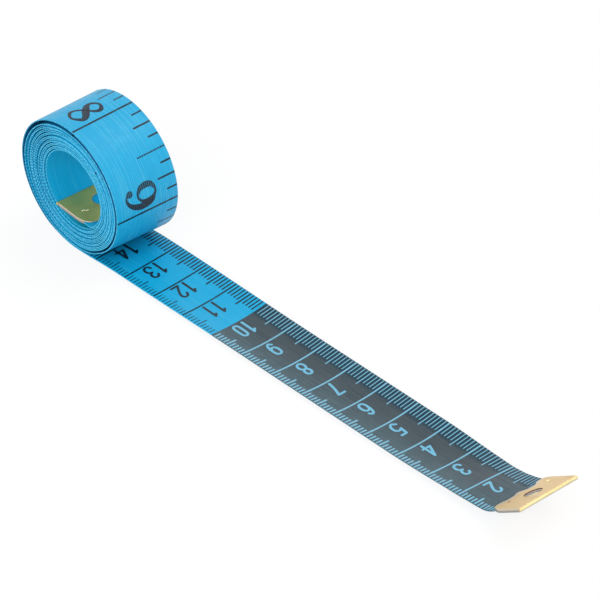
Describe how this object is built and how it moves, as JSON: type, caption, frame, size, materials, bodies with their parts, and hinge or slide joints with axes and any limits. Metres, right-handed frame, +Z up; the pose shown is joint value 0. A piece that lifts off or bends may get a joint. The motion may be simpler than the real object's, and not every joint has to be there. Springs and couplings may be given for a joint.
{
  "type": "cloth tape measure",
  "caption": "Flexible printed cloth measuring tape, wound into a roll with a free strip that flexes in lengths and folded metal tips on both ends.",
  "frame": {"origin": "on the ground under the middle of the whole part", "axes": "+X along the strip from the roll to the outer tip, +Y across the tape along the roll's axis, +Z up"},
  "size_m": [0.1624, 0.0164, 0.0339],
  "materials": {
    "tape_blue": "satin coated cloth, light blue",
    "tape_dark": "satin coated cloth printed dark grey",
    "tip_metal": "pale gold plated sheet, satin"
  },
  "bodies": {
    "roll": {"tape_roll": "tape_blue", "inner_end_tip": "tip_metal", "tape_foot": "tape_blue"},
    "length_1": {"tape_length_1": "tape_blue"},
    "length_2": {"tape_length_2": "tape_blue"},
    "length_3": {"tape_length_3": "tape_dark"},
    "length_4": {"tape_length_4": "tape_dark"},
    "length_5": {"tape_length_5": "tape_dark"},
    "length_6": {"tape_length_6": "tape_dark"},
    "end": {"tape_end": "tape_dark", "outer_end_tip": "tip_metal"}
  },
  "joints": [
    {"name": "flex_1", "type": "hinge", "parent": "roll", "child": "length_1", "pos_m": [-0.05547, 0, 0.00018], "axis": [0, -1, 0], "range_deg": [-35, 35], "stiffness_Nm_per_rad": 0.004},
    {"name": "flex_2", "type": "hinge", "parent": "length_1", "child": "length_2", "pos_m": [-0.0369, 0, 0.00018], "axis": [0, -1, 0], "range_deg": [-35, 35], "stiffness_Nm_per_rad": 0.004},
    {"name": "flex_3", "type": "hinge", "parent": "length_2", "child": "length_3", "pos_m": [-0.01832, 0, 0.00018], "axis": [0, -1, 0], "range_deg": [-35, 35], "stiffness_Nm_per_rad": 0.004},
    {"name": "flex_4", "type": "hinge", "parent": "length_3", "child": "length_4", "pos_m": [-0.00136, 0, 0.00018], "axis": [0, -1, 0], "range_deg": [-35, 35], "stiffness_Nm_per_rad": 0.004},
    {"name": "flex_5", "type": "hinge", "parent": "length_4", "child": "length_5", "pos_m": [0.0156, 0, 0.00018], "axis": [0, -1, 0], "range_deg": [-35, 35], "stiffness_Nm_per_rad": 0.004},
    {"name": "flex_6", "type": "hinge", "parent": "length_5", "child": "length_6", "pos_m": [0.03257, 0, 0.00018], "axis": [0, -1, 0], "range_deg": [-35, 35], "stiffness_Nm_per_rad": 0.004},
    {"name": "flex_7", "type": "hinge", "parent": "length_6", "child": "end", "pos_m": [0.04953, 0, 0.00018], "axis": [0, -1, 0], "range_deg": [-35, 35], "stiffness_Nm_per_rad": 0.004}
  ]
}
